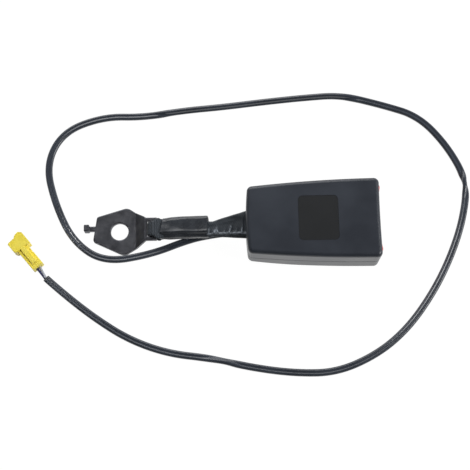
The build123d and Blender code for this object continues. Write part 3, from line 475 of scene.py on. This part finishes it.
pvc, tree, shader = finish("flexible_pvc_grey", roughness=0.24, ior=1.54, coat_weight=0.2,
                           coat_roughness=0.3)
point = position(tree)
tree.links.new(between(tree, blotches(tree, point, 15.0, 2.0), "#30353e", "#3e444e", 0.3, 0.7),
               shader.inputs["Base Color"])
raise_by(tree, shader, blotches(tree, point, 4.0, 2.0), 0.008)

rings, lead_centres = sheath_rings(lead_line)
lead_sheath = mesh_piece("lead_sheath", rings)
lead_sheath.data.materials.append(pvc)
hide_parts("switch_lead")
print("sheath:", len(lead_sheath.data.vertices), "points")

# %% [markdown]
# ## The two wires
#
# Where the sheath is stripped, two insulated wires run into the plug. One is violet-blue
# and one pale grey. They are lofted round, and bow apart a little.

# %% Wire cores
CORE = 1.6
# Each wire's route in millimetres, the solid node it replaces, and its slot.
CORE_ROUTES = {
    "core_wire_light": (
        [(-46.6, -30.6, 1.9), (-47.8, -28.6, 2.2), (-49.2, -25.6, 3.4), (-51.3, -21.6, 4.2),
         (-53.4, -19.0, 4.2)], "lead_core_light", "core_light"),
    "core_wire_dark": (
        [(-47.6, -30.0, 1.9), (-49.0, -28.0, 2.3), (-51.2, -25.2, 3.5), (-53.6, -22.4, 4.2),
         (-55.4, -20.4, 4.2)], "lead_core_dark", "core_dark")}
wire_finishes = {
    "core_wire_dark": moulding("wire_pvc_violet_blue", "#34365a", "#45487a", 0.3, 1.53, 0.8),
    "core_wire_light": moulding("wire_pvc_pale_grey", "#b9bdc6", "#ccd0d8", 0.3, 1.53, 0.8)}
core_section = cable_section(CORE * MM, CORE * MM, 14, 2.0)
for name, (route, node, slot) in CORE_ROUTES.items():
    line = smooth_line(name, route, 8)
    rings = []
    for i, place in enumerate(line):
        side, up = sideways_and_up(line, i)
        rings.append([place + side * x + up * y for x, y in core_section])
    core = mesh_piece(name, rings)
    core.data.materials.append(wire_finishes[name])
    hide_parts(node)
dress(wire_finishes["core_wire_dark"], "lead_inner")

# %% [markdown]
# ## The strap: folded polyester webbing
#
# The strap is one loop of webbing, round the plate's bar at one end and a pin inside the
# housing at the other. It is folded in on itself, so it is narrow in the middle and fans
# out into the housing. A flat strap is drawn directly: a rounded section is carried round
# the loop, and its width, thickness and wrinkles follow the place on the strap.

# %% Strap shape
BAR = Vector((22.9, 0.0, 7.0))
PIN = Vector((96.5, 0.0, 14.5))
SPAN = math.hypot(PIN.x - BAR.x, PIN.z - BAR.z)
RISE = math.atan2(PIN.z - BAR.z, PIN.x - BAR.x)
BAND_X = Vector((math.cos(RISE), 0, math.sin(RISE)))
BAND_Z = Vector((-math.sin(RISE), 0, math.cos(RISE)))
# Two legs of cloth lie on each other. They part to go round the bar and the pin, each at
# the radius given for its middle, and are together again after the join's distance.
LEG = 2.4
LOOP_LEG = 1.6
BAR_LOOP = 3.6
PIN_LOOP = 4.3
JOIN = 9.0
# Place along the band, in millimetres from the bar, then the value there.
WIDTHS = [(-10.0, 9.5), (-0.5, 9.5), (1.6, 13.4), (3.2, 14.0), (4.4, 12.6), (12.0, 12.4),
          (30.0, 11.8), (34.5, 10.4), (38.0, 9.6), (44.0, 12.0), (59.0, 17.4), (64.0, 18.6),
          (90.0, 19.6)]
SHIFTS = [(-10.0, 0.0), (30.0, -0.8), (36.0, -2.0), (44.0, -1.2), (59.0, 0.1), (90.0, 0.0)]
THICKS = [(-10.0, LOOP_LEG), (4.0, LOOP_LEG), (10.0, LEG - 0.15), (200.0, LEG - 0.15)]


def along_table(table, x):
    """Linear reading between the rows of a table."""
    for (x0, y0), (x1, y1) in zip(table, table[1:]):
        if x <= x1:
            return y0 + (y1 - y0) * max(0.0, (x - x0) / (x1 - x0))
    return table[-1][1]


def run(start, end, step):
    """Points of a straight run, without its first one."""
    count = max(1, int(math.dist(start, end) / step))
    return [(start[0] + (end[0] - start[0]) * k / count,
             start[1] + (end[1] - start[1]) * k / count) for k in range(1, count + 1)]


def turn_round(centre_x, radius, start, end, count):
    """Points of an arc between two angles, with both ends."""
    return [(centre_x + radius * math.cos(start + (end - start) * k / count),
             radius * math.sin(start + (end - start) * k / count)) for k in range(count + 1)]


def strap_path(step=0.4):
    """Points round the loop in the band's plane: along it from the bar, and off its middle."""
    leg = LEG / 2
    bar_leave = math.pi / 2 + math.asin((BAR_LOOP - leg) / JOIN)
    pin_meet = math.pi / 2 - math.asin((PIN_LOOP - leg) / JOIN)
    upper = turn_round(0.0, BAR_LOOP, math.pi, bar_leave, 18)
    upper += run(upper[-1], (JOIN, leg), step)
    upper += run(upper[-1], (SPAN - JOIN, leg), step)
    pin_side = turn_round(SPAN, PIN_LOOP, pin_meet, 0.0, 16)
    upper += run(upper[-1], pin_side[0], step) + pin_side[1:]
    return upper + [(x, -y) for x, y in upper[-2:0:-1]]


loop = strap_path()
print("strap loop:", len(loop), "stations, from bar to pin", round(SPAN, 1), "mm")


# %% [markdown]
# ### Wrinkles
#
# Folding webbing lengthwise leaves a rolled hem along its low edge and short slanted
# creases beside it. They crowd together at the neck, where the strap leaves the sleeve,
# and spread and fade as it fans out. Round the plate's bar the folds run across instead.
# Each crease is given by where it starts on the hem, how far it leans, its length across
# the strap, and its height. Both legs share the creases, so that they stay in touch.


# %% Wrinkle heights
CREASES = [(35.2, 1.0, 5.0, 0.6), (38.4, 2.2, 4.0, 0.45), (41.4, -1.2, 7.0, 0.6),
           (44.6, 1.8, 4.0, 0.4), (48.8, 2.6, 8.5, 0.65), (52.6, 1.6, 4.6, 0.4),
           (56.6, 0.6, 13.0, 0.7)]


def wrinkle(along, across, width):
    """How far the band rises off its line, in millimetres, at a place on it."""
    free = ease((along - 33) / 3) * (1 - ease((along - 58) / 8))
    from_hem = across + 0.34 * width
    rise = 0.0
    for start, lean, length, high in CREASES:
        share = from_hem / length
        off = along - start - lean * share - 0.3 * math.sin(3.0 * share + start)
        ridge = math.exp(-(off / 0.55) ** 2) - 0.7 * math.exp(-((off - 1.25) / 0.7) ** 2)
        rise += high * ridge * ease(from_hem / 1.2 + 0.6) * (1 - ease(share * 1.1 - 0.1))
    rise += 0.5 * noise.noise(Vector((along * 0.16, across * 0.3, 3.1)))
    valley = math.exp(-((across / width - 0.12) / 0.09) ** 2)
    return (rise - 0.35 * valley) * free


def hem(along, across, width):
    """Extra height of the rolled hem along the low edge, in millimetres."""
    free = ease((along - 33) / 2) * (1 - ease((along - 60) / 5))
    roll = math.exp(-((across / width + 0.36) / 0.055) ** 2)
    lumps = 1.0 + 0.5 * noise.noise(Vector((along * 0.45, 0.0, 9.2)))
    step_down = 0.5 * (1 - ease((across / width + 0.48) / 0.07))
    return (0.75 * roll * lumps - step_down) * free


def cross_folds(gone, x):
    """Folds across the strap where it goes round the bar, in millimetres."""
    return 0.24 * math.sin(2 * math.pi * gone / 1.55) * (1 - ease((x - 3.4) / 1.5))


def strap_rings(path, sides=64):
    """Rings of the strap, flat with round edges, and where each point is on the cloth."""
    rings, marks, gone = [], [], 0.0
    for i, (x, y) in enumerate(path):
        before, after = path[i - 1], path[(i + 1) % len(path)]
        gone += math.dist((x, y), before) if i else 0.0
        ahead_x, ahead_y = after[0] - before[0], after[1] - before[1]
        out = Vector((-ahead_y, ahead_x)).normalized()
        width, thick = along_table(WIDTHS, x), along_table(THICKS, x)
        side = 1.0 if y >= 0 else -1.0
        ring, ring_marks = [], []
        for k in range(sides):
            turn = 2 * math.pi * (k + 0.5) / sides
            c, s = math.cos(turn), math.sin(turn)
            across = width / 2 * math.copysign(abs(c) ** 0.6, c)
            edge = (1 - abs(across) / (width / 2 + 0.01)) * width / 2
            lift = math.copysign(thick / 2 * min(1.0, edge / (thick / 2)) ** 0.5, s)
            folds = wrinkle(x, across, width)
            rolled = hem(x, across, width)
            if s > 0:
                lift += (cross_folds(gone, x) + rolled) * min(1.0, edge / 0.6)
            lift += folds * side
            flat = Vector((x, y)) + out * lift
            place = BAR + BAND_X * flat.x + BAND_Z * flat.y
            place.y += across + along_table(SHIFTS, x)
            ring.append(place * MM)
            # The third mark is the fold height, from which the material paints raised folds paler
            # (painted highlight).
            ring_marks.append((gone, across, max(0.0, rolled, 1.4 * folds * side)))
        rings.append(ring)
        marks.append(ring_marks)
    return rings, marks


rings, marks = strap_rings(loop)
strap = mesh_piece("webbing_band", rings, closed_path=True)
threads = strap.data.attributes.new("threads", "FLOAT_VECTOR", "POINT")
for k, mark in enumerate(mark for ring in marks for mark in ring):
    threads.data[k].vector = mark
print("strap:", len(strap.data.vertices), "points")

# %% [markdown]
# ### Weave
#
# Seat belt webbing is a twill: warp yarns run along the strap about every 0.9 mm, and each
# weft passes over two of them, which shows as fine slanted ribs. The mesh carries the
# distance along and across in millimetres, so the weave follows every bend. It carries the
# height of the folds too, and the raised folds and hem are painted paler: a painted
# highlight for the glint of their filaments, which stands also for the pale rub of wear.

# %% Woven polyester
WARP = 0.95
WEFT = 1.3
webbing, tree, shader = finish("woven_polyester_black", roughness=0.62, ior=1.5, sheen_weight=0.25,
                               sheen_roughness=0.4)
thread = add(tree, "Attribute", {"attribute_name": "threads"})
axes = add(tree, "SeparateXYZ", None, {"Vector": thread.outputs["Vector"]})
slant = maths(tree, "MULTIPLY_ADD", axes.outputs["Y"], 0.55, axes.outputs["X"])
weft = maths(tree, "SINE", maths(tree, "MULTIPLY", slant, 2 * math.pi / WEFT))
warp = maths(tree, "SINE", maths(tree, "MULTIPLY", axes.outputs["Y"], 2 * math.pi / WARP))
weave = maths(tree, "MULTIPLY_ADD", warp, 0.6, weft)
level = spread(tree, weave, 0.0, 1.0, -1.6, 1.6)
# Raised folds and the hem are painted towards #a3abb6: a painted highlight for their glint,
# standing also for rubbing wear.
fold_highlight_and_wear = spread(tree, axes.outputs["Z"], 0.0, 0.75, 0.12, 0.8)
patchy = blotches(tree, position(tree), 1.8, 3.0)
fold_highlight_and_wear = maths(tree, "MULTIPLY", fold_highlight_and_wear, spread(tree, patchy, 0.2, 1.3, 0.35, 0.65))
fold_highlight_colour = add(tree, "Mix", {"data_type": "RGBA", "B": linear("#a3abb6")},
           {"Factor": fold_highlight_and_wear, "A": between(tree, level, "#242a30", "#39414a")})
tree.links.new(fold_highlight_colour.outputs["Result"], shader.inputs["Base Color"])
raise_by(tree, shader, level, 0.07)
strap.data.materials.append(webbing)
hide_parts("webbing_strap")

# %% [markdown]
# ## The sleeve: shrunk polyolefin tube
#
# A plastic tube is slid over the folded strap and warmed, and it shrinks to a flat, glossy
# oval. It is stiff enough to keep straight, yet shows where the folded strap pushes from
# inside: a long shoulder, shallow dents, and ends that are not quite square.

# %% Sleeve shape
SLEEVE_START = 4.0
SLEEVE_LENGTH = 30.8
SLEEVE_WIDTH = 14.4
SLEEVE_HEIGHT = 9.2
SLEEVE_WALL = 0.7
# Where the folded strap pushes or leaves the tube slack: place across, half width, height.
BULGES = [(5.2, 1.6, 0.35), (1.0, 3.4, -0.5), (-3.6, 0.9, 0.75), (-5.6, 1.1, -0.9)]


def sleeve_ring(x, grow, sides=72):
    """One ring of the sleeve's outer or inner wall."""
    share = (x - SLEEVE_START) / SLEEVE_LENGTH
    ring = []
    for k in range(sides):
        turn = 2 * math.pi * k / sides
        c, s = math.cos(turn), math.sin(turn)
        y = (SLEEVE_WIDTH / 2 + grow) * math.copysign(abs(c) ** 0.75, c)
        z = (SLEEVE_HEIGHT / 2 + grow) * math.copysign(abs(s) ** 0.8, s)
        top = ease(s / 0.5)
        for middle, half, high in BULGES:
            drift = 0.5 * math.sin(2.2 * share + middle)
            z += high * math.exp(-((y - middle - drift) / half) ** 2) * top * (0.6 + 0.4 * share)
        z += 0.4 * noise.noise(Vector((x * 0.13, y * 0.22, 7.7))) * top
        y += 0.25 * noise.noise(Vector((x * 0.12, z * 0.2, 2.4)))
        squeeze = 1.0 - 0.07 * (1 - ease(share / 0.22)) - 0.02 * ease((share - 0.96) / 0.04)
        slope = 0.16 * (y + 4) * (1 - ease(share / 0.5))
        place = BAR + BAND_X * (x + slope) + BAND_Z * z * squeeze + Vector((0, y * squeeze, 0))
        ring.append(place * MM)
    return ring


stations = [SLEEVE_START + SLEEVE_LENGTH * k / 60 for k in range(61)]
rings = [sleeve_ring(x, 0.0) for x in stations]
rings += [sleeve_ring(x, -SLEEVE_WALL) for x in reversed(stations)]
sleeve = mesh_piece("shrunk_sleeve", rings, closed_path=True)
polyolefin, tree, shader = finish("shrunk_polyolefin_black", roughness=0.24, ior=1.5)
point = position(tree)
tree.links.new(between(tree, blotches(tree, point, 8.0, 3.0), "#2e3136", "#3e4248", 0.3, 0.7),
               shader.inputs["Base Color"])
tree.links.new(spread(tree, blotches(tree, point, 4.0, 3.0), 0.2, 0.34), shader.inputs["Roughness"])
stretched = add(tree, "Mapping", {"Scale": (0.25, 1.0, 1.0)}, {"Vector": point})
raise_by(tree, shader, blotches(tree, stretched.outputs["Vector"], 2.5, 2.0), 0.05)
sleeve.data.materials.append(polyolefin)
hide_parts("strap_sleeve")
print("sleeve:", len(sleeve.data.vertices), "points")

# %% [markdown]
# ## Coil springs
#
# Each spring is round wire wound into a helix, with its end coils closed up so that it
# stands square. The helix is a list of points, and the lofting helper gives it a round
# section.

# %% Springs
# Piece, solid node, joint, axis, outer radius and wire in millimetres, number of turns.
SPRINGS = [
    ("coil_button_left", "button_spring_left", "button_press", (-1, 0, 0), 2.3, 0.6, 9),
    ("coil_button_right", "button_spring_right", "button_press", (-1, 0, 0), 2.3, 0.6, 9),
    ("coil_latch", "latch_spring", "latch_tilt", (0, 0, -1), 2.4, 0.6, 6),
    ("coil_ejector", "ejector_spring", "ejector_slide", (-1, 0, 0), 1.75, 0.5, 16)]


def coil_rings(low, high, axis, radius, wire, turns, sides=10):
    """Rings of round wire wound between two faces, closer together at the ends."""
    along = Vector([abs(a) for a in axis])
    side = Vector((0, 1, 0))
    up = along.cross(side)
    middle = (low + high) / 2
    start = middle - along * (high - low).dot(along) / 2
    length = (high - low).dot(along) - wire * MM
    steps = int(turns * 22)
    line = []
    for i in range(steps + 1):
        share = i / steps
        pitch = share - 0.045 * math.sin(2 * math.pi * share * 2) / (2 * math.pi)
        turn = 2 * math.pi * turns * share
        reach = (radius - wire / 2) * MM
        line.append(start + along * (wire / 2 * MM + length * pitch)
                    + side * (reach * math.cos(turn)) + up * (reach * math.sin(turn)))
    rings = []
    for i, place in enumerate(line):
        forward = (line[min(i + 1, steps)] - line[max(i - 1, 0)]).normalized()
        outward = (place - start - along * (place - start).dot(along)).normalized()
        third = forward.cross(outward)
        rings.append([place + (outward * math.cos(2 * math.pi * k / sides)
                               + third * math.sin(2 * math.pi * k / sides)) * (wire / 2 * MM)
                      for k in range(sides)])
    return rings


for name, node, joint, axis, radius, wire, turns in SPRINGS:
    low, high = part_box(node)
    low, high = Vector(low), Vector(high)
    coil = mesh_piece(name, coil_rings(low, high, axis, radius, wire, turns))
    coil.data.materials.append(spring_wire)
    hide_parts(node)
    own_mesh(coil)
    print(name, len(coil.data.vertices), "points")

# %% [markdown]
# ## Floor and light
#
# The buckle lies on a plain white sweep. The floor's shader adds white for camera and
# mirror rays, so that the ground is clean and still keeps a soft shadow. One broad soft
# lamp stands behind and one to the right. A small spot lifts the yellow plug, which lies
# far from both, and the world fills in.

# %% Floor
FLOOR_SIZE = 6.0
FLOOR_DROP = 0.0002
ADDED_WHITE = 0.94
floor_mesh = bpy.data.meshes.new("floor")
reach = FLOOR_SIZE / 2
corners = [(-reach, -reach, 0), (reach, -reach, 0), (reach, reach, 0), (-reach, reach, 0)]
floor_mesh.from_pydata(corners, [], [(0, 1, 2, 3)])
floor = bpy.data.objects.new("floor", floor_mesh)
floor.location.z = -FLOOR_DROP
bpy.context.collection.objects.link(floor)
paper = bpy.data.materials.new("white_paper_sweep")
paper.use_nodes = True
tree = paper.node_tree
tree.nodes.clear()
rays = add(tree, "LightPath")
seen = maths(tree, "MAXIMUM", rays.outputs["Is Camera Ray"], rays.outputs["Is Glossy Ray"])
seen = maths(tree, "MAXIMUM", seen, rays.outputs["Is Transmission Ray"])
white_share = maths(tree, "MULTIPLY", seen, ADDED_WHITE)
matt = add(tree, "BsdfDiffuse", {"Color": linear("#f4f4f4")})
glow = add(tree, "Emission", {"Color": linear("#ffffff"), "Strength": 1.05})
both = add(tree, "MixShader", None, {0: white_share, 1: matt.outputs[0], 2: glow.outputs[0]})
add(tree, "OutputMaterial", None, {"Surface": both.outputs[0]})
floor_mesh.materials.append(paper)

# %% Lamps
# Name, place, target and size in metres, and watts.
LAMPS = [("back", (-0.1, 1.0, 0.7), (0.07, 0.0, 0.0), 0.9, 8.0),
         ("right", (1.0, -0.15, 0.8), (0.10, 0.0, 0.0), 0.6, 8.0)]
PLUG_LAMP = (-0.42, -0.05, 0.52)
PLUG_WATTS = 11.0


def hang_lamp(name, kind, place, target, energy):
    """A lamp of that kind, aimed at a target. Returns its settings."""
    settings = bpy.data.lights.new(name, kind)
    settings.energy = energy
    lamp = bpy.data.objects.new(name, settings)
    lamp.location = place
    lamp.rotation_euler = (Vector(target) - Vector(place)).to_track_quat("-Z", "Y").to_euler()
    bpy.context.collection.objects.link(lamp)
    return settings


for name, place, target, size, energy in LAMPS:
    hang_lamp(name, "AREA", place, target, energy).size = size
plug_low, plug_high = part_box("connector_housing")
plug_middle = (Vector(plug_low) + Vector(plug_high)) / 2
plug_spot = hang_lamp("plug_spot", "SPOT", PLUG_LAMP, plug_middle, PLUG_WATTS)
plug_spot.spot_size = math.radians(9.0)
plug_spot.spot_blend = 1.0
plug_spot.shadow_soft_size = 0.08
print("lamps:", [lamp.name for lamp in bpy.data.lights])

# %% [markdown]
# The room round the table is light at eye level on the far side, and dark overhead and
# behind the viewer, as a studio with one white wall is. Flat tops then stay deep, edges
# that face the wall catch a light line, and edges that face the viewer go dark.

# %% World
ZENITH = 0.10
WALL = 0.85
DARK_SIDE = 0.05
TOWARDS_WALL = (0.45, 0.89, 0.0)
world = bpy.data.worlds.new("studio")
bpy.context.scene.world = world
world.use_nodes = True
tree = world.node_tree
tree.nodes.clear()
ahead_of = add(tree, "TexCoord").outputs["Generated"]
height = add(tree, "SeparateXYZ", None, {"Vector": ahead_of}).outputs["Z"]
facing = add(tree, "VectorMath", {"operation": "DOT_PRODUCT", 1: TOWARDS_WALL}, {0: ahead_of})
wall = add(tree, "MapRange",
           {"interpolation_type": "SMOOTHSTEP", "From Min": -0.5, "From Max": 0.4,
            "To Min": DARK_SIDE, "To Max": WALL}, {"Value": facing.outputs["Value"]})
level = add(tree, "MapRange",
            {"interpolation_type": "SMOOTHSTEP", "From Min": 0.1, "From Max": 0.8,
             "To Max": ZENITH},
            {"Value": height, "To Min": wall.outputs["Result"]}).outputs["Result"]
rays = add(tree, "LightPath")
room = add(tree, "Background", {"Color": linear("#ffffff")}, {"Strength": level})
white = add(tree, "Background", {"Color": linear("#ffffff"), "Strength": 1.0})
mix = add(tree, "MixShader", None,
          {0: rays.outputs["Is Camera Ray"], 1: room.outputs[0], 2: white.outputs[0]})
add(tree, "OutputWorld", None, {"Surface": mix.outputs[0]})
bpy.context.scene.view_settings.view_transform = "Standard"

# %% [markdown]
# ## Closing
#
# The sizes of the solid model and of the dressed one are written side by side, so that
# they can be compared.

# %% Sizes and finish
low, high = cad_box
